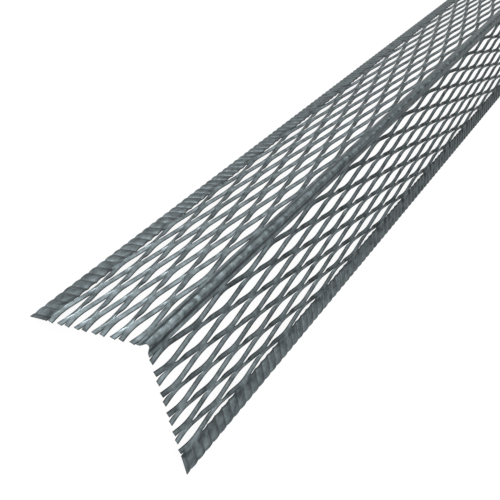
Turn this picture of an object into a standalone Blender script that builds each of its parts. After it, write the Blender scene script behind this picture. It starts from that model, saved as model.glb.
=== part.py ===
"""Corner bead for drywall and plaster, a length of it laid down on its two edges.

One strip of galvanised sheet steel makes the whole bead. Its middle is pressed up into a rounded nose.
On each side the sheet is slit in staggered rows and pulled sideways, so that it opens into a wing of
long diamonds. A solid strip, crimped crosswise, is left along the outer edge. The nose and the four wing
lengths below are one sheet on the real bead. They are separate bodies with a narrow gap, so that each
stays small.

Z is up, Y runs along the bead and X across it. The origin is under the middle of the bead, on the
floor that the edges of the wings rest on.
"""

import math

import bmesh
import bpy
from mathutils import Vector

# Overall size, in metres and radians
LENGTH = 1.200
SHEET = 0.0004
WING_ANGLE = math.radians(82)  # inside the corner, from one wing to the other

# Each wing, measured in its plane from the line where the two planes would meet
FLANGE = 0.00455  # solid metal beside the nose, out to the first row of slits
STRANDS = 10  # strands across the opened mesh
ROW_PITCH = 0.00481  # across the wing, from one row of slits to the next
SLIT_PITCH = 0.0324  # along the bead, from one slit to the next in its row
BOND = 0.0030  # uncut metal between two slits of a row
OPENING = 0.0058  # an opened slit across its middle
RAISE = 0.00045  # outer edge of each strand above the wing's plane, and its free inner edge below it
EDGE_STRIP = 0.01035  # solid strip outside the last row of slits
CRIMPS = 7  # ribs across the edge strip in each slit pitch
CRIMP_HEIGHT = 0.0004  # top of a rib above the valley beside it

# Nose
NOSE_RADIUS = 0.0014  # outside of the round top
NOSE_RISE = 0.0021  # top of the nose above the line where the wing planes meet
NOSE_ROOT = 0.0028  # where the nose leaves each wing plane, measured in that plane
NOSE_STEPS = 8  # facets round the top

# Where the bead is cut
FIRST_KNUCKLE = 0.0070  # from the front end to the first bond beside the flange
FRONT_PITCHES = 18  # whole slit pitches in the front lengths of the wings
GAP = 0.0003  # between bodies that are one sheet on the real bead

# Galvanised finish
ZINC_COLOUR = (0.165, 0.19, 0.205, 1.0)
ZINC_ROUGHNESS = 0.42

HALF_ANGLE = WING_ANGLE / 2
HALF_PITCH = SLIT_PITCH / 2
HALF_CRIMP = SLIT_PITCH / CRIMPS / 2
WING = FLANGE + STRANDS * ROW_PITCH + EDGE_STRIP
FLANGE_START = NOSE_ROOT + SHEET / 2 + GAP
UNDER_VALLEY = CRIMP_HEIGHT / 2 + SHEET / 2 / math.cos(math.atan2(CRIMP_HEIGHT, HALF_CRIMP))
CORNER_Z = WING * math.cos(HALF_ANGLE) + UNDER_VALLEY * math.sin(HALF_ANGLE)
FRONT = -LENGTH / 2
BACK = LENGTH / 2
PARTING = FRONT + FRONT_PITCHES * SLIT_PITCH
LEFT = -1
RIGHT = 1


def clear_scene():
    for item in list(bpy.data.objects):
        bpy.data.objects.remove(item, do_unlink=True)


def galvanised(name):
    material = bpy.data.materials.new(name)
    material.use_nodes = True
    shader = material.node_tree.nodes["Principled BSDF"]
    shader.inputs["Base Color"].default_value = ZINC_COLOUR
    shader.inputs["Metallic"].default_value = 1.0
    shader.inputs["Roughness"].default_value = ZINC_ROUGHNESS
    return material


def on_wing(side, across, along, lift=0.0):
    """The point so far across a wing, so far along the bead and lifted so far off the wing's plane."""
    sine = math.sin(HALF_ANGLE)
    cosine = math.cos(HALF_ANGLE)
    return Vector((side * (across * sine + lift * cosine), along, CORNER_Z - across * cosine + lift * sine))


def add_sheet(name, bm):
    """Thicken an open surface, the middle of the sheet, to both sides."""
    bmesh.ops.recalc_face_normals(bm, faces=bm.faces)
    mesh = bpy.data.meshes.new(name)
    bm.to_mesh(mesh)
    bm.free()
    sheet = bpy.data.objects.new(name, mesh)
    bpy.context.collection.objects.link(sheet)
    solidify = sheet.modifiers.new("thickness", "SOLIDIFY")
    solidify.thickness = SHEET
    solidify.offset = 0.0
    solidify.use_even_offset = True
    mesh.materials.append(galvanised(name + "_zinc"))
    return sheet


def row_line(row):
    """Distance across the wing to a row of slits."""
    return FLANGE + row * ROW_PITCH


def knuckle_line(step):
    """Place along the bead of a line of bonds, where the slits of every other row are centred."""
    return FRONT + FIRST_KNUCKLE + step * HALF_PITCH


def crimp_line(number):
    """Place along the bead of a line across the edge strip: even numbers are valleys, odd ones ribs."""
    return knuckle_line(0) + number * HALF_CRIMP


def crimp_lift(along):
    """Height of the edge strip's middle, which rises and falls straight between its lines."""
    phase = (along - knuckle_line(0)) / HALF_CRIMP % 2
    return CRIMP_HEIGHT * (1 - abs(1 - phase) - 0.5)


class WingMesh:
    """The middle of one wing's sheet, as faces that share their corners.

    A slit sits at each odd place (row + step) and a bond between four strands at each even one. A slit
    opens to a diamond with a tip at each end and a bend on each side. Its tips stay level with the
    raised outer edge of the strand inside it. The slits of the first row open from the flange and those
    of the last row from the edge strip, so these are half diamonds.
    """

    def __init__(self, side):
        self.side = side
        self.bm = bmesh.new()
        self.corners = {}

    def corner(self, across, along, lift=0.0):
        key = (round(across, 7), round(along, 7))
        if key not in self.corners:
            self.corners[key] = self.bm.verts.new(on_wing(self.side, across, along, lift))
        return self.corners[key]

    def tip(self, row, step, end):
        along = knuckle_line(step) + end * (HALF_PITCH - BOND / 2)
        if row == STRANDS:
            lift = crimp_lift(along)
        else:
            lift = RAISE if row > 0 else 0.0
        return self.corner(row_line(row), along, lift)

    def bend(self, row, step, way):
        """The bend on the inner (-1) or outer (1) side of a slit."""
        return self.corner(row_line(row) + way * OPENING / 2, knuckle_line(step), -way * RAISE)

    def add_bond(self, row, step):
        before = self.tip(row, step - 1, 1)
        after = self.tip(row, step + 1, -1)
        inner = self.bend(row - 1, step, 1) if row > 0 else None
        outer = self.bend(row + 1, step, -1) if row < STRANDS else None
        if inner and outer:
            self.bm.faces.new((before, outer, after, inner))
        elif outer:
            self.bm.faces.new((before, outer, after))
        else:
            rim = [before] + self.strip_corners(step - 1, step + 1, row_line(STRANDS)) + [after]
            for near, far in zip(rim, rim[1:]):
                self.bm.faces.new((near, far, inner))

    def add_strands(self, row, step):
        """The two strands on the outer side of a slit, one towards each of its tips."""
        for end in (-1, 1):
            self.bm.faces.new((self.bend(row, step, 1), self.tip(row, step, end),
                               self.bend(row + 1, step + end, -1), self.tip(row + 1, step + end, -end)))

    def add_flange(self, step):
        """The flange beside one slit of the first row and the bond after it."""
        self.bm.faces.new((self.tip(0, step, -1), self.tip(0, step, 1), self.tip(0, step + 2, -1),
                           self.corner(FLANGE_START, knuckle_line(step + 2)),
                           self.corner(FLANGE_START, knuckle_line(step))))

    def strip_corners(self, step_before, step_after, across):
        """Corners on the crimp lines that lie in the bond between two slits of the last row."""
        start = knuckle_line(step_before) + HALF_PITCH - BOND / 2
        stop = knuckle_line(step_after) - HALF_PITCH + BOND / 2
        first = math.ceil((start - knuckle_line(0)) / HALF_CRIMP)
        last = math.floor((stop - knuckle_line(0)) / HALF_CRIMP)
        lines = [crimp_line(number) for number in range(first, last + 1)]
        return [self.corner(across, along, crimp_lift(along)) for along in lines]

    def add_strip(self, first, last):
        """The crimped strip, one face for each flank of a rib, with the slit tips on its inner edge."""
        tips = []
        for step in range(first, last + 1):
            if (STRANDS + step) % 2 == 1:
                tips += [knuckle_line(step) - HALF_PITCH + BOND / 2, knuckle_line(step) + HALF_PITCH - BOND / 2]
        begin = math.ceil((tips[0] - knuckle_line(0)) / HALF_CRIMP)
        end = math.floor((tips[-1] - knuckle_line(0)) / HALF_CRIMP)
        for number in range(begin, end):
            near = crimp_line(number)
            far = crimp_line(number + 1)
            inner = [near] + [tip for tip in tips if near < tip < far] + [far]
            points = [self.corner(row_line(STRANDS), along, crimp_lift(along)) for along in inner]
            points += [self.corner(WING, along, crimp_lift(along)) for along in (far, near)]
            self.bm.faces.new(points)

    def fill(self, first, last):
        for step in range(first, last + 1):
            for row in range(STRANDS + 1):
                if (row + step) % 2 == 0:
                    self.add_bond(row, step)
                elif row < STRANDS:
                    self.add_strands(row, step)
            if step % 2 == 1:
                self.add_flange(step)
        self.add_strip(first - 1, last + 1)


def cut_square(sheet, start, stop):
    """Cut a thickened sheet square to the bead at both ends, and close the cuts."""
    bm = bmesh.new()
    bm.from_object(sheet, bpy.context.evaluated_depsgraph_get())
    for place, away in ((start, -1), (stop, 1)):
        everything = bm.verts[:] + bm.edges[:] + bm.faces[:]
        cut = bmesh.ops.bisect_plane(bm, geom=everything, dist=1e-7, plane_co=(0, place, 0),
                                     plane_no=(0, away, 0), clear_outer=True)
        rims = [item for item in cut["geom_cut"] if isinstance(item, bmesh.types.BMEdge)]
        bmesh.ops.holes_fill(bm, edges=rims, sides=0)
    sheet.modifiers.clear()
    bm.to_mesh(sheet.data)
    bm.free()


def add_wing(name, side, start, stop):
    """One length of a wing, from start to stop along the bead."""
    origin = knuckle_line(0)
    wing = WingMesh(side)
    wing.fill(math.floor((start - origin) / HALF_PITCH) - 3, math.ceil((stop - origin) / HALF_PITCH) + 3)
    cut_square(add_sheet(name, wing.bm), start, stop)


def nose_section():
    """The middle of the sheet across the nose: a straight side, the round top and the other side."""
    radius = NOSE_RADIUS - SHEET / 2
    centre = CORNER_Z + NOSE_RISE - NOSE_RADIUS
    root = on_wing(RIGHT, NOSE_ROOT, 0)
    drop = root.z - centre
    tangent = math.atan2(drop, root.x) + math.acos(radius / math.hypot(root.x, drop))
    section = [(root.x, root.z)]
    for step in range(NOSE_STEPS + 1):
        angle = tangent + (math.pi - 2 * tangent) * step / NOSE_STEPS
        section.append((radius * math.cos(angle), centre + radius * math.sin(angle)))
    return section + [(-root.x, root.z)]


def add_nose(name):
    """The pressed nose, drawn out along the bead."""
    bm = bmesh.new()
    section = [bm.verts.new((x, FRONT, z)) for x, z in nose_section()]
    edges = [bm.edges.new(pair) for pair in zip(section, section[1:])]
    drawn = bmesh.ops.extrude_edge_only(bm, edges=edges)
    moved = [item for item in drawn["geom"] if isinstance(item, bmesh.types.BMVert)]
    bmesh.ops.translate(bm, verts=moved, vec=(0, LENGTH, 0))
    add_sheet(name, bm)


def build_bead():
    add_nose("nose")
    for side, word in ((LEFT, "left"), (RIGHT, "right")):
        add_wing(word + "_wing_front", side, FRONT, PARTING - GAP / 2)
        add_wing(word + "_wing_back", side, PARTING + GAP / 2, BACK)


clear_scene()
build_bead()
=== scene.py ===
"""Looks of the corner bead: opened mesh with sheared strands, crimped edge strips, pressed nose.

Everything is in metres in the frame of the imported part: Z up, Y along the bead, X across it. A place on
a wing is given by three distances: across the wing from the line where the wing planes meet, along the
bead, and the lift off the wing's plane on its outer side.
"""

import math

import bpy
import numpy as np
from mathutils import Matrix, Vector


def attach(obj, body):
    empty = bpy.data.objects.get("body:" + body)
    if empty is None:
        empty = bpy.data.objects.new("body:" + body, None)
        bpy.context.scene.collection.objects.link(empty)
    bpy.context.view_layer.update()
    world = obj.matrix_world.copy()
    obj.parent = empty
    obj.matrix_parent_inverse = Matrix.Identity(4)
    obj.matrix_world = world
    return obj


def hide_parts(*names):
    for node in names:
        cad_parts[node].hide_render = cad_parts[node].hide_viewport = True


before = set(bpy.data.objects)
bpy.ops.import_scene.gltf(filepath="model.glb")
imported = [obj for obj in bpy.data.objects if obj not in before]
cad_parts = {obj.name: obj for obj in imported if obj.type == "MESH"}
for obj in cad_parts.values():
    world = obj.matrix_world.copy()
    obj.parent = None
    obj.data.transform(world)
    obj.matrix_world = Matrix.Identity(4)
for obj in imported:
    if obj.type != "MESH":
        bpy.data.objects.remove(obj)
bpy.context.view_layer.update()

# Sizes of the part, as its source gives them
LENGTH = 1.200
SHEET = 0.0004
HALF_ANGLE = math.radians(41)
FLANGE = 0.00455
STRANDS = 10
ROW_PITCH = 0.00481
SLIT_PITCH = 0.0324
EDGE_STRIP = 0.01035
CRIMPS = 7
CRIMP_HEIGHT = 0.0004
NOSE_RADIUS = 0.0014
NOSE_RISE = 0.0021
NOSE_ROOT = 0.0028
FIRST_KNUCKLE = 0.0070
FRONT_PITCHES = 18

BANDS = STRANDS + 1  # the strands of a wing and its edge strip
HALF_PITCH = SLIT_PITCH / 2
CRIMP_PITCH = SLIT_PITCH / CRIMPS
WING = FLANGE + STRANDS * ROW_PITCH + EDGE_STRIP
UNDER_VALLEY = CRIMP_HEIGHT / 2 + SHEET / 2 / math.cos(math.atan2(CRIMP_HEIGHT, CRIMP_PITCH / 2))
CORNER_Z = WING * math.cos(HALF_ANGLE) + UNDER_VALLEY * math.sin(HALF_ANGLE)
FRONT = -LENGTH / 2
BACK = LENGTH / 2
ORIGIN = FRONT + FIRST_KNUCKLE
PARTING = FRONT + FRONT_PITCHES * SLIT_PITCH
LEFT = -1
RIGHT = 1

# Finer shape of the opened mesh
STRAND = 0.00190  # width of a strand, seen square to the wing
BOND_HALF = 0.0015  # half of the uncut metal at a bond
FLAT = 0.00183  # half of the straight stretch at the widest place of an opening
BEND_ROUNDING = 0.0016  # half of the stretch over which a strand's edge bends there
TIP_ROUNDING = 0.0003  # the same where an edge leaves its bond
RAISE = 0.00040  # outer edge of a strand above the wing's plane, and its free inner edge below it
BOND_RAISE = 0.00048  # uncut metal above the wing's plane
SETTLE_RUN = 0.0012  # stretch over which an outer edge comes down from its bond's height
DIP_OUT = (0.0026, 0.0088)  # where an outward strand's inner edge sinks and has sunk, from its bond's middle
DIP_IN = (0.0015, 0.0054)  # the same for a strand that runs inwards
CURL = 0.00022  # extra lift of an inner edge beside a bond, where the strand runs outwards
CURL_RUN = 0.0014  # stretch over which that lift comes in
DROP = 0.00010  # extra sinking of an inner edge beside a bond, where the strand runs inwards
DROP_START = 0.0036  # where that sinking begins to fade, from the bond's middle
DROP_RUN = 0.0040  # stretch over which it fades
CAMBER = 0.00007  # rise of a strand's middle over its edges
STRAND_LINES = (0.17, 0.5, 0.83)  # lines of corners along a strand, as shares of its width

# Corners of the section at an edge: in from the edge, and above the middle of the sheet
ROLLED_EDGE = ((0.00007, 0.00020), (0.0, 0.00014), (0.0, -0.00016), (0.00004, -0.00020))
BURRED_EDGE = ((0.00010, 0.00020), (0.0, 0.00011), (0.0, -0.00016), (0.00004, -0.00020))
PLAIN_EDGE = ((0.0, 0.00020), (0.0, 0.00007), (0.0, -0.00007), (0.0, -0.00020))

# Places of those corners in the ring round a section
LINES = len(STRAND_LINES)
RING = 2 * LINES + 8
OUTER_PLACES = tuple(LINES + 1 + step for step in range(4))
INNER_PLACES = tuple((RING - step) % RING for step in range(4))
OUTER_QUADS = OUTER_PLACES[:3]
INNER_QUADS = tuple(RING - step for step in (3, 2, 1))

# Where sections are set out along the bead
CRIMP_SHARES = (0.0, 0.2, 0.5, 0.8)
NEAREST = 0.0002  # the closest that a section comes to a slit's tip
END_MARGIN = 0.0001  # the closest that one comes to an end of its piece

# Finer shape of the nose
NOSE_FILLET = 0.0006
FILLET_STEPS = 4
ARC_STEPS = 12
PRESSED_FROM = 0.22  # share of the way across the nose at which its pressed middle begins
DENT_DEPTH = 0.00016
DENT_WAVES = (  # height, turns along, turns across, sway, its turns along, its start, start
    (1.0, 3.1, 9.0, 1.1, 0.83, 0.0, 0.0),
    (0.9, 4.9, -12.0, 1.7, 0.57, 1.0, 0.0),
    (0.5, 1.37, 15.0, 0.0, 0.0, 0.0, 2.0),
)

SHARP_ANGLE = math.radians(25)

# Marks on the corners for the material, from 0 to 1; the dark sheared edges are partly bare steel and partly
# painted shade
EDGE_FADE = 0.0045  # stretch beside a bond over which a sheared edge turns dark
INNER_LINE_DARK = 0.2  # share of an edge's dark, as painted shade on the strand's top, on the line of corners nearest to the inner edge
OUTER_LINE_DARK = 0.7  # the same nearest to the outer edge
SLOT_SHADOW_END = 0.0056  # painted shadow of the slot beside each bond: the strip's first line is dark from a bond's end to here, from the bond's middle

# Zinc
ZINC_DARK = (0.070, 0.085, 0.090, 1)
ZINC_LIGHT = (0.194, 0.234, 0.248, 1)
ZINC_SPREAD = (0.34, 0.69)  # levels of the mottling that give the dark and the light zinc
# Dark colour for the sheared edges, partly their bare steel and partly painted shade along them, and for the
# painted shade lines on the strip
EDGE_AND_SHADE_COLOUR = (0.030, 0.036, 0.039, 1)
EDGE_AND_SHADE_SHARE = 0.9
SHADE_LINE_HALF = 0.14  # half width of the painted shade line beside a valley of the strip, in crimp pitches
SHADE_LINE_SHIFT = 0.19  # how far before the valley that line lies, in crimp pitches, on the far flank of each rib, which faces away from the light
SHADE_LINE_SHARE = 0.64  # share of the dark colour in that painted shade line
STRIP_SHARE = 0.26  # the same on the rest of the strip
EDGE_TINT = (0.6, 0.6, 0.6, 1)
ROUGHNESS = (0.22, 0.38)
MOTTLE_SCALE = 260.0
BLOOM_SCALE = 45.0
DRAWING_SCALE = (900.0, 60.0, 900.0)
GRAIN_STRENGTH = 0.4
GRAIN_HEIGHT = 0.00006
DENT_SCALE = 330.0
DENT_HEIGHT = 0.0006

# Camera
CAMERA_PLACE = (0.01231, -0.69612, 0.23078)
CAMERA_AZIMUTH = math.radians(-4.502)
CAMERA_ELEVATION = math.radians(-49.685)
CAMERA_ROLL = math.radians(40.880)
CAMERA_LENS = 46.140

# Light
FLOOR_HALF = 6.0
FLOOR_WHITE = 0.90  # share of the floor's look that is plain white; the rest keeps the shadow
SKY_SIDE = (-0.32, -0.81, 0.49)  # towards the bright side of the surroundings
SKY_RANGE = (-0.9, 0.35)  # cosines to that side at which the surroundings are darkest and brightest
SKY_DARK = 0.05
SKY_BRIGHT = 2.4
LAMP_SIZE = (1.3, 0.2)
LAMPS = (("low_left", (-1.3, -0.55, 0.12), 8.0), ("low_right", (1.3, -0.55, 0.12), 1.5))
LAMP_AIM = (0, -0.55, 0.03)


def soft_ramp(place, start, stop, start_rounding, stop_rounding):
    """0 before start, 1 after stop, straight between them, with rounded corners."""
    def bent(x, rounding):
        inside = (x + rounding) ** 2 / (4 * rounding)
        return np.where(x <= -rounding, 0.0, np.where(x >= rounding, x, inside))
    return (bent(place - start, start_rounding) - bent(place - stop, stop_rounding)) / (stop - start)


def smooth(x):
    """0 below 0, 1 above 1, with a soft start and end between them."""
    x = np.clip(x, 0.0, 1.0)
    return x * x * (3 - 2 * x)


def row_line(row):
    """Distance across the wing to a row of slits."""
    return FLANGE + row * ROW_PITCH


def crimp_lift(along):
    """Middle of the edge strip over the wing's plane: round ribs with sharp valleys between them."""
    phase = ((along - ORIGIN) / CRIMP_PITCH) % 1.0
    return CRIMP_HEIGHT * (1 - (2 * phase - 1) ** 2 - 0.5)


def edge_swing(walked):
    """How far an edge has left its bond for its widest place, by the way along the bead from the bond."""
    return soft_ramp(walked, BOND_HALF + TIP_ROUNDING, HALF_PITCH - FLAT, TIP_ROUNDING, BEND_ROUNDING)


def strand_edges(row, along):
    """Across and lift of the inner and the outer edge of one strand, at places along the bead.

    A strand is held at its inner edge by one bond and at its outer edge by the next, half a pitch on.
    Its outer edge stays raised. Its inner edge sinks as soon as it is free of its bond.
    """
    step = (along - ORIGIN) / HALF_PITCH
    before = np.floor(step)
    walked = (step - before) * HALF_PITCH
    outwards = (row + before) % 2 == 0
    from_inner = np.where(outwards, walked, HALF_PITCH - walked)
    from_outer = HALF_PITCH - from_inner
    inner = row_line(row) + (ROW_PITCH - STRAND) * edge_swing(from_inner)
    outer = row_line(row + 1) - (ROW_PITCH - STRAND) * edge_swing(from_outer)
    start, stop = (np.where(outwards, out, back) for out, back in zip(DIP_OUT, DIP_IN))
    sunk = smooth((from_inner - start) / (stop - start))
    held = BOND_RAISE * (row > 0)
    inner_lift = held - (held + RAISE) * sunk
    beside = smooth((from_inner - BOND_HALF) / CURL_RUN) * (1 - sunk)
    inner_lift += CURL * beside * outwards * (row > 0)
    inner_lift -= DROP * sunk * (1 - smooth((from_inner - DROP_START) / DROP_RUN)) * ~outwards
    outer_lift = RAISE + (BOND_RAISE - RAISE) * (1 - smooth((from_outer - BOND_HALF) / SETTLE_RUN))
    return (inner, inner_lift), (outer, outer_lift)


def strip_edges(row, along):
    """The same for the edge strip, which has only one row."""
    lift = crimp_lift(along)
    flat = np.zeros_like(along)
    return (flat + row_line(row), lift), (flat + WING, lift)


def along_samples(start, stop):
    """Places along the bead where the sheet's section is set out."""
    first = math.floor((start - ORIGIN) / CRIMP_PITCH) - 1
    last = math.ceil((stop - ORIGIN) / CRIMP_PITCH) + 1
    places = [ORIGIN + (number + share) * CRIMP_PITCH
              for number in range(first, last + 1) for share in CRIMP_SHARES]
    first = math.floor((start - ORIGIN) / HALF_PITCH) - 1
    last = math.ceil((stop - ORIGIN) / HALF_PITCH) + 1
    tips = [ORIGIN + number * HALF_PITCH + end * BOND_HALF
            for number in range(first, last + 1) for end in (-1, 1)]
    places = [place for place in places if min(abs(place - tip) for tip in tips) > NEAREST] + tips
    places = sorted(place for place in places if start + END_MARGIN < place < stop - END_MARGIN)
    return np.array([start] + places + [stop])


def bonded(row, along):
    """True where the metal isn't cut along a row of slits."""
    step = np.round((along - ORIGIN) / HALF_PITCH)
    near = np.abs(along - ORIGIN - step * HALF_PITCH) <= BOND_HALF + 1e-6
    return near & ((row + step) % 2 == 0)


def darkness(row, along):
    """How dark the sheared edges are along a row of slits, with bare steel and painted shade: clear at its
    bonds, full a little way off.
    """
    step = (along - ORIGIN) / HALF_PITCH + row
    from_bond = np.abs(step / 2 - np.round(step / 2)) * SLIT_PITCH
    return smooth((from_bond - BOND_HALF) / EDGE_FADE)


def edge_corners(corners, joined):
    """Inset and height of each corner at an edge, at each place; plain where the edge is joined."""
    for (inset, height), (plain_inset, plain_height) in zip(corners, PLAIN_EDGE):
        yield np.where(joined, plain_inset, inset), np.where(joined, plain_height, height)


def band_ring(edges, row, along, inner_joined, outer_joined):
    """The corners round a band's section at each place: top, outer edge, bottom, inner edge."""
    step = 1e-5
    (inner_across, inner_lift), (outer_across, outer_lift) = edges(row, along)
    inner = np.stack([inner_across, along, inner_lift], -1)
    outer = np.stack([outer_across, along, outer_lift], -1)
    (inner_next, inner_lift_next), (outer_next, outer_lift_next) = edges(row, along + step)
    (inner_last, inner_lift_last), (outer_last, outer_lift_last) = edges(row, along - step)
    forward = np.stack([(inner_next + outer_next - inner_last - outer_last) / 2,
                        np.full_like(along, 2 * step),
                        (inner_lift_next + outer_lift_next - inner_lift_last - outer_lift_last) / 2], -1)
    across = outer - inner
    width = np.linalg.norm(across, axis=1, keepdims=True)
    across = across / width
    normal = np.cross(across, forward)
    normal /= np.linalg.norm(normal, axis=1, keepdims=True)
    normal *= np.sign(normal[:, 2:3])

    def chain(edge, inward, corners, joined):
        return [edge + inward * across * inset[:, None] + normal * height[:, None]
                for inset, height in edge_corners(corners, joined)]

    inner_chain = chain(inner, 1, BURRED_EDGE, inner_joined)
    outer_chain = chain(outer, -1, ROLLED_EDGE, outer_joined)
    middles = [inner + across * width * line + normal * CAMBER * (1 - (2 * line - 1) ** 4)
               for line in STRAND_LINES]
    top = [middle + normal * SHEET / 2 for middle in middles]
    bottom = [middle - normal * SHEET / 2 for middle in middles]
    ring = [inner_chain[0], *top, *outer_chain, *bottom[::-1], *inner_chain[:0:-1]]
    return np.stack(ring, 1)


def merge_bonds(points, joined):
    """Numbers of the corners, the same for both bands at a bond, where they move to one place."""
    numbers = np.arange(points[..., 0].size).reshape(points.shape[:3])
    for band in range(1, BANDS):
        shared = joined[band]
        for inner, outer in zip(INNER_PLACES, OUTER_PLACES):
            middle = (points[band, shared, inner] + points[band - 1, shared, outer]) / 2
            points[band - 1, shared, outer] = middle
            numbers[band, shared, inner] = numbers[band - 1, shared, outer]
    return numbers


def quads_between(numbers, place, after):
    """Faces between two neighbouring lines of corners, one for each stretch along the bead."""
    return np.stack([numbers[:-1, place], numbers[:-1, after], numbers[1:, after], numbers[1:, place]], 1)


def wing_faces(numbers, joined):
    """The faces round every band, without those inside the metal of a bond."""
    faces = []
    for band in range(BANDS):
        for place in range(RING):
            here = np.ones(numbers.shape[1] - 1, bool)
            if place in INNER_QUADS and band > 0:
                here = ~(joined[band][:-1] & joined[band][1:])
            if place in OUTER_QUADS and band < STRANDS:
                here = ~(joined[band + 1][:-1] & joined[band + 1][1:])
            faces.append(quads_between(numbers[band], place, (place + 1) % RING)[here])
    return np.concatenate(faces)


def wing_marks(along):
    """Which corners lie on sheared edges, and how dark they are there, partly bare steel and partly painted
    shade that spreads onto the strand's top; which lie on the crimped strip.
    """
    cut = np.zeros((BANDS, len(along), RING))
    crimped = np.zeros((BANDS, len(along), RING))
    crimped[STRANDS] = 1
    # painted shadow in the narrow slot between the last strands and the strip, beside each bond
    from_bond = np.abs(along - ORIGIN - 2 * HALF_PITCH * np.round((along - ORIGIN) / SLIT_PITCH))
    cut[STRANDS][:, 1] = (from_bond > BOND_HALF) & (from_bond < SLOT_SHADOW_END)
    # the sheared edges are dark with bare steel and painted shade; the lines of corners beside them carry
    # painted shade on the strand's top
    for band in range(BANDS):
        inner_dark = darkness(band, along)[:, None]
        outer_dark = darkness(band + 1, along)[:, None]
        cut[band][:, INNER_PLACES] = inner_dark
        if band < STRANDS:
            cut[band][:, 1:2] = INNER_LINE_DARK * inner_dark
            cut[band][:, OUTER_PLACES] = outer_dark
            cut[band][:, LINES:LINES + 1] = OUTER_LINE_DARK * outer_dark
    return {"cut": cut.ravel(), "crimped": crimped.ravel()}


def wing_mesh(start, stop):
    """Places, faces, marks and end faces of one wing length, strands and strip as one closed mesh."""
    along = along_samples(start, stop)
    points = np.zeros((BANDS, len(along), RING, 3))
    joined = [bonded(row, along) for row in range(BANDS)]
    free = np.zeros(len(along), bool)
    for band in range(STRANDS):
        points[band] = band_ring(strand_edges, band, along, joined[band], joined[band + 1])
    points[STRANDS] = band_ring(strip_edges, STRANDS, along, joined[STRANDS], free)
    points[:, 0, :, 1] = start
    points[:, -1, :, 1] = stop
    numbers = merge_bonds(points, joined)
    ends = []
    for band in range(BANDS):
        ends.append(list(numbers[band, 0, ::-1]))
        ends.append(list(numbers[band, -1]))
    return points.reshape(-1, 3), wing_faces(numbers, joined), wing_marks(along), ends


def to_bead(side, places):
    """Points in the part's frame, from places on a wing."""
    sine = math.sin(HALF_ANGLE)
    cosine = math.cos(HALF_ANGLE)
    across, along, lift = places[:, 0], places[:, 1], places[:, 2]
    return np.stack([side * (across * sine + lift * cosine), along,
                     CORNER_Z - across * cosine + lift * sine], -1)


def make_object(name, points, quads, marks, ends, flip):
    """A closed mesh object, with the marks for the material on its corners."""
    used = np.unique(quads)
    new_number = np.full(len(points), -1)
    new_number[used] = np.arange(len(used))
    faces = new_number[quads]
    if flip:
        faces = faces[:, ::-1]
    polygons = faces.tolist()
    for end in ends:
        loop = [int(new_number[number]) for number in end]
        polygons.append(loop[::-1] if flip else loop)
    mesh = bpy.data.meshes.new(name)
    mesh.from_pydata(points[used].tolist(), [], polygons)
    for mark, values in marks.items():
        attribute = mesh.attributes.new(mark, "FLOAT", "POINT")
        attribute.data.foreach_set("value", values[used].astype(np.float32))
    mesh.shade_smooth()
    mesh.set_sharp_from_angle(angle=SHARP_ANGLE)
    mesh.validate()
    piece = bpy.data.objects.new(name, mesh)
    bpy.context.scene.collection.objects.link(piece)
    return piece


def nose_line():
    """Middle of the sheet across the nose, from the left flange's edge to the right one's."""
    radius = NOSE_RADIUS - SHEET / 2
    centre = CORNER_Z + NOSE_RISE - NOSE_RADIUS
    sine = math.sin(HALF_ANGLE)
    cosine = math.cos(HALF_ANGLE)
    edge = Vector((FLANGE * sine, CORNER_Z - FLANGE * cosine))
    root = Vector((NOSE_ROOT * sine, CORNER_Z - NOSE_ROOT * cosine))
    drop = root.y - centre
    tangent = math.atan2(drop, root.x) + math.acos(radius / math.hypot(root.x, drop))
    touch = Vector((radius * math.cos(tangent), centre + radius * math.sin(tangent)))
    start = root + (edge - root).normalized() * NOSE_FILLET
    stop = root + (touch - root).normalized() * NOSE_FILLET
    points = [edge, edge.lerp(root, 0.3)]
    for step in range(FILLET_STEPS + 1):
        share = step / FILLET_STEPS
        points.append(start.lerp(root, share).lerp(root.lerp(stop, share), share))
    points.append(root.lerp(touch, 0.6))
    for step in range(ARC_STEPS + 1):
        angle = tangent + (math.pi - 2 * tangent) * step / ARC_STEPS
        points.append(Vector((radius * math.cos(angle), centre + radius * math.sin(angle))))
    left = [Vector((-point.x, point.y)) for point in points[:-ARC_STEPS - 1][::-1]]
    return np.array([(point.x, point.y) for point in points + left])[::-1]


def pressed_middle(share, fade):
    """1 in the pressed middle of the nose and 0 on its flanges; share runs from 0 to 1 across it."""
    return smooth((share - PRESSED_FROM) / fade) * smooth((1 - PRESSED_FROM - share) / fade)


def nose_dents(share, along):
    """Depth of the shallow dents that pressing leaves in the nose."""
    place = along[:, None] / ROW_PITCH
    side = share[None, :]
    waves = sum(height * np.sin(turns * place + across * side + sway * np.sin(rate * place + late) + start)
                for height, turns, across, sway, rate, late, start in DENT_WAVES)
    highest = sum(wave[0] for wave in DENT_WAVES)
    return DENT_DEPTH * pressed_middle(side, 0.12) * (1 - waves / highest)


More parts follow.
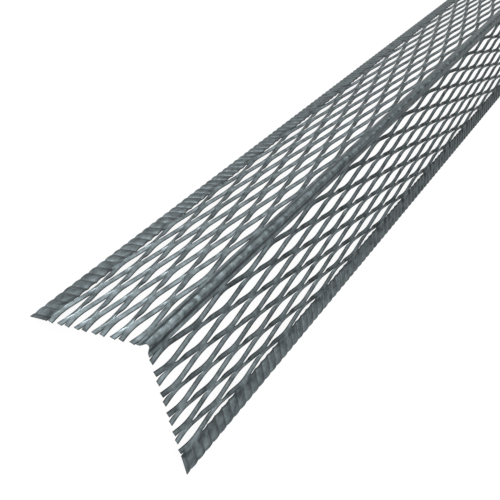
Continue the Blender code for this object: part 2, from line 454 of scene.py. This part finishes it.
def nose_mesh():
    """Places, faces, marks and end faces of the nose with its two flanges."""
    line = nose_line()
    along = along_samples(FRONT, BACK)
    count = len(along)
    step = np.gradient(line, axis=0)
    step /= np.linalg.norm(step, axis=1, keepdims=True)
    normal = np.stack([-step[:, 1], step[:, 0]], -1)
    lengths = np.concatenate([[0], np.cumsum(np.linalg.norm(np.diff(line, axis=0), axis=1))])
    share = lengths / lengths[-1]
    dents = nose_dents(share, along)
    joined = bonded(0, along)

    def surface(height):
        shift = height - dents
        x = line[None, :, 0] + normal[None, :, 0] * shift
        z = line[None, :, 1] + normal[None, :, 1] * shift
        return np.stack([x, np.broadcast_to(along[:, None], x.shape), z], -1)

    def rim(index, outwards):
        rows = []
        for inset, height in edge_corners(ROLLED_EDGE, joined):
            x = line[index, 0] - outwards * step[index, 0] * inset + normal[index, 0] * height
            z = line[index, 1] - outwards * step[index, 1] * inset + normal[index, 1] * height
            rows.append(np.stack([x, along, z], -1))
        return rows

    top = surface(SHEET / 2)[:, 1:-1]
    bottom = surface(-SHEET / 2)[:, 1:-1]
    right = rim(-1, 1)
    left = rim(0, -1)
    ring = np.concatenate([left[0][:, None], top, np.stack(right, 1), bottom[:, ::-1],
                           np.stack(left[:0:-1], 1)], 1)
    around = ring.shape[1]
    inner = top.shape[1]
    numbers = np.arange(count * around).reshape(count, around)
    faces = [quads_between(numbers, place, (place + 1) % around) for place in range(around)]
    cut = np.zeros((count, around))
    # the flange's sheared edges, dark with bare steel and painted shade, except at the bonds
    edges = [0, *range(inner + 1, inner + 5), *range(around - 3, around)]
    cut[:, edges] = ~joined[:, None]
    pressed = np.zeros((count, around))
    pressed[:, 1:inner + 1] = pressed_middle(share, 0.08)[1:-1]
    marks = {"cut": cut.ravel(), "pressed": pressed.ravel()}
    return ring.reshape(-1, 3), np.concatenate(faces), marks, nose_ends(numbers, inner)


def nose_ends(numbers, inner):
    """The cut faces of the nose, as a row of small faces from one flange to the other."""
    faces = []
    for row, forward in ((numbers[0], False), (numbers[-1], True)):
        top = [row[0], *row[1:inner + 1], row[inner + 1]]
        bottom = [row[-3], *row[inner + 5:2 * inner + 5][::-1], row[inner + 4]]
        for place in range(len(top) - 1):
            quad = [top[place], top[place + 1], bottom[place + 1], bottom[place]]
            faces.append(quad if forward else quad[::-1])
        right = [row[inner + 1], row[inner + 2], row[inner + 3], row[inner + 4]]
        left = [row[-3], row[-2], row[-1], row[0]]
        for loop in (right, left):
            faces.append(loop if forward else loop[::-1])
    return faces


class Nodes:
    """Short helpers for building a node tree; a source is a node with the name of its output."""

    def __init__(self, tree):
        self.tree = tree

    def add(self, kind, entries=None, **settings):
        node = self.tree.nodes.new(kind)
        for name, value in settings.items():
            setattr(node, name, value)
        for name, value in (entries or {}).items():
            self.feed(node, name, value)
        return node

    def feed(self, node, name, value):
        """Give an entry of a node its source, or its plain value."""
        if isinstance(value, tuple) and isinstance(value[0], bpy.types.Node):
            source, output = value
            self.tree.links.new(source.outputs[output], node.inputs[name])
        else:
            node.inputs[name].default_value = value

    def calculate(self, operation, *values):
        return self.add("ShaderNodeMath", dict(enumerate(values)), operation=operation), "Value"

    def noise(self, vector, scale, detail, **more):
        entries = {"Vector": vector, "Scale": scale, "Detail": detail, **more}
        return self.add("ShaderNodeTexNoise", entries), "Fac"

    def mark(self, name):
        return self.add("ShaderNodeAttribute", attribute_name=name), "Fac"


def new_material(name):
    material = bpy.data.materials.new(name)
    material.use_nodes = True
    return material, Nodes(material.node_tree)


def dark_share(nodes, place):
    """Share of the dark colour: on sheared edges, partly bare steel and partly painted shade; over the edge
    strip; and as a painted shade line on the far flank before each valley.
    """
    cut = nodes.calculate("MULTIPLY", nodes.mark("cut"), EDGE_AND_SHADE_SHARE)
    parts = nodes.add("ShaderNodeSeparateXYZ", {"Vector": place})
    # a painted shade line on the far flank of each rib, just before its valley
    steps = nodes.calculate("MULTIPLY_ADD", (parts, "Y"), 1 / CRIMP_PITCH, SHADE_LINE_SHIFT - ORIGIN / CRIMP_PITCH)
    to_line = nodes.calculate("PINGPONG", steps, 0.5)
    entries = {"Value": to_line, "From Max": SHADE_LINE_HALF, "To Min": SHADE_LINE_SHARE, "To Max": STRIP_SHARE}
    flank_shade = nodes.add("ShaderNodeMapRange", entries, interpolation_type="SMOOTHSTEP")
    strip_darkening = nodes.calculate("MULTIPLY", (flank_shade, "Result"), nodes.mark("crimped"))
    return nodes.calculate("MAXIMUM", cut, strip_darkening)


def relief(nodes, place, mottle):
    """Bumps of the zinc: fine grain and drawing lines, and dents where the nose is pressed."""
    stretch = nodes.add("ShaderNodeMapping", {"Vector": place, "Scale": DRAWING_SCALE})
    lines = nodes.noise((stretch, "Vector"), 1.0, 3.0)
    grain = nodes.calculate("ADD", lines, mottle)
    entries = {"Height": grain, "Strength": GRAIN_STRENGTH, "Distance": GRAIN_HEIGHT}
    grained = (nodes.add("ShaderNodeBump", entries), "Normal")
    depth = nodes.calculate("MULTIPLY", nodes.noise(place, DENT_SCALE, 1.0), nodes.mark("pressed"))
    entries = {"Height": depth, "Distance": DENT_HEIGHT, "Normal": grained}
    return nodes.add("ShaderNodeBump", entries), "Normal"


def galvanised():
    """Dull zinc: a dark blue-grey with soft mottling, faint drawing lines, darker sheared edges that are
    partly bare steel and partly painted shade, and painted shade lines on the strip.
    """
    material, nodes = new_material("galvanised_zinc")
    shader = material.node_tree.nodes["Principled BSDF"]
    place = (nodes.add("ShaderNodeTexCoord"), "Object")
    mottle = nodes.noise(place, MOTTLE_SCALE, 5.0, Roughness=0.6)
    zinc = nodes.add("ShaderNodeValToRGB", {"Fac": mottle})
    for element, position, colour in zip(zinc.color_ramp.elements, ZINC_SPREAD, (ZINC_DARK, ZINC_LIGHT)):
        element.position = position
        element.color = colour
    # the zinc goes towards the dark colour on the sheared edges and wherever shade is painted
    entries = {"A": (zinc, "Color"), "B": EDGE_AND_SHADE_COLOUR, "Factor": dark_share(nodes, place)}
    base = nodes.add("ShaderNodeMix", entries, data_type="RGBA")
    least, most = ROUGHNESS
    bloom = nodes.noise(place, BLOOM_SCALE, 2.0)
    shine = nodes.add("ShaderNodeMapRange", {"Value": bloom, "To Min": least, "To Max": most})
    nodes.feed(shader, "Base Color", (base, "Result"))
    nodes.feed(shader, "Roughness", (shine, "Result"))
    nodes.feed(shader, "Metallic", 1.0)
    nodes.feed(shader, "Specular Tint", EDGE_TINT)
    nodes.feed(shader, "Normal", relief(nodes, place, mottle))
    return material


def floor_material():
    """White floor that keeps the shadow and shows white to the camera and in the metal."""
    material, nodes = new_material("white_floor")
    nodes.tree.nodes.remove(nodes.tree.nodes["Principled BSDF"])
    matt = nodes.add("ShaderNodeBsdfDiffuse", {"Color": (0.8, 0.8, 0.8, 1)})
    glow = nodes.add("ShaderNodeEmission")
    path = nodes.add("ShaderNodeLightPath")
    seen = nodes.calculate("MAXIMUM", (path, "Is Camera Ray"), (path, "Is Glossy Ray"))
    seen = nodes.calculate("MAXIMUM", seen, (path, "Is Transmission Ray"))
    share = nodes.calculate("MULTIPLY", seen, FLOOR_WHITE)
    both = nodes.add("ShaderNodeMixShader", {"Fac": share, 1: (matt, "BSDF"), 2: (glow, "Emission")})
    nodes.feed(nodes.tree.nodes["Material Output"], "Surface", (both, "Shader"))
    return material


def add_floor():
    corners = [(-FLOOR_HALF, -FLOOR_HALF, 0), (FLOOR_HALF, -FLOOR_HALF, 0),
               (FLOOR_HALF, FLOOR_HALF, 0), (-FLOOR_HALF, FLOOR_HALF, 0)]
    mesh = bpy.data.meshes.new("floor")
    mesh.from_pydata(corners, [], [(0, 1, 2, 3)])
    floor = bpy.data.objects.new("floor", mesh)
    bpy.context.scene.collection.objects.link(floor)
    mesh.materials.append(floor_material())


def add_lamp(name, place, power):
    light = bpy.data.lights.new(name, "AREA")
    light.shape = "RECTANGLE"
    light.size, light.size_y = LAMP_SIZE
    light.energy = power
    lamp = bpy.data.objects.new(name, light)
    bpy.context.scene.collection.objects.link(lamp)
    lamp.location = place
    aim = Vector(LAMP_AIM) - Vector(place)
    lamp.rotation_mode = "QUATERNION"
    lamp.rotation_quaternion = aim.to_track_quat("-Z", "Y")


def add_light():
    """Surroundings that brighten towards one side, and a low soft lamp on each side."""
    world = bpy.data.worlds.new("studio")
    bpy.context.scene.world = world
    world.use_nodes = True
    nodes = Nodes(world.node_tree)
    place = (nodes.add("ShaderNodeTexCoord"), "Generated")
    entries = {0: place, 1: Vector(SKY_SIDE).normalized()}
    side = nodes.add("ShaderNodeVectorMath", entries, operation="DOT_PRODUCT")
    darkest, brightest = SKY_RANGE
    entries = {"Value": (side, "Value"), "From Min": darkest, "From Max": brightest,
               "To Min": SKY_DARK, "To Max": SKY_BRIGHT}
    level = nodes.add("ShaderNodeMapRange", entries)
    background = world.node_tree.nodes["Background"]
    nodes.feed(background, "Strength", (level, "Result"))
    nodes.feed(background, "Color", (1, 1, 1, 1))
    for name, lamp_place, power in LAMPS:
        add_lamp(name, lamp_place, power)


def add_camera():
    level = math.cos(CAMERA_ELEVATION)
    forward = Vector((level * math.sin(CAMERA_AZIMUTH), level * math.cos(CAMERA_AZIMUTH),
                      math.sin(CAMERA_ELEVATION)))
    level_right = forward.cross(Vector((0, 0, 1))).normalized()
    level_up = level_right.cross(forward)
    right = level_right * math.cos(CAMERA_ROLL) + level_up * math.sin(CAMERA_ROLL)
    up = level_up * math.cos(CAMERA_ROLL) - level_right * math.sin(CAMERA_ROLL)
    data = bpy.data.cameras.new("camera")
    data.sensor_width = 36.0
    data.lens = CAMERA_LENS
    data.clip_start = 0.01
    data.clip_end = 50.0
    camera = bpy.data.objects.new("camera", data)
    bpy.context.scene.collection.objects.link(camera)
    turn = Matrix((right, up, -forward)).transposed().to_4x4()
    camera.matrix_world = Matrix.Translation(CAMERA_PLACE) @ turn
    bpy.context.scene.camera = camera


def build_bead():
    """The five pieces of the one sheet, each in place of its node of the part."""
    zinc = galvanised()
    pieces = []
    for word, start, stop in (("front", FRONT, PARTING), ("back", PARTING, BACK)):
        places, quads, marks, ends = wing_mesh(start, stop)
        for side, name in ((LEFT, "left"), (RIGHT, "right")):
            points = to_bead(side, places)
            piece = make_object(f"{name}_mesh_{word}", points, quads, marks, ends, side == LEFT)
            pieces.append((piece, f"{name}_wing_{word}"))
    pieces.append((make_object("pressed_nose", *nose_mesh(), False), "nose"))
    for piece, node in pieces:
        piece.data.materials.append(zinc)
        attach(piece, "root")
        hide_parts(node)


add_camera()
add_floor()
add_light()
build_bead()

scene = bpy.context.scene
scene.view_settings.view_transform = "Standard"
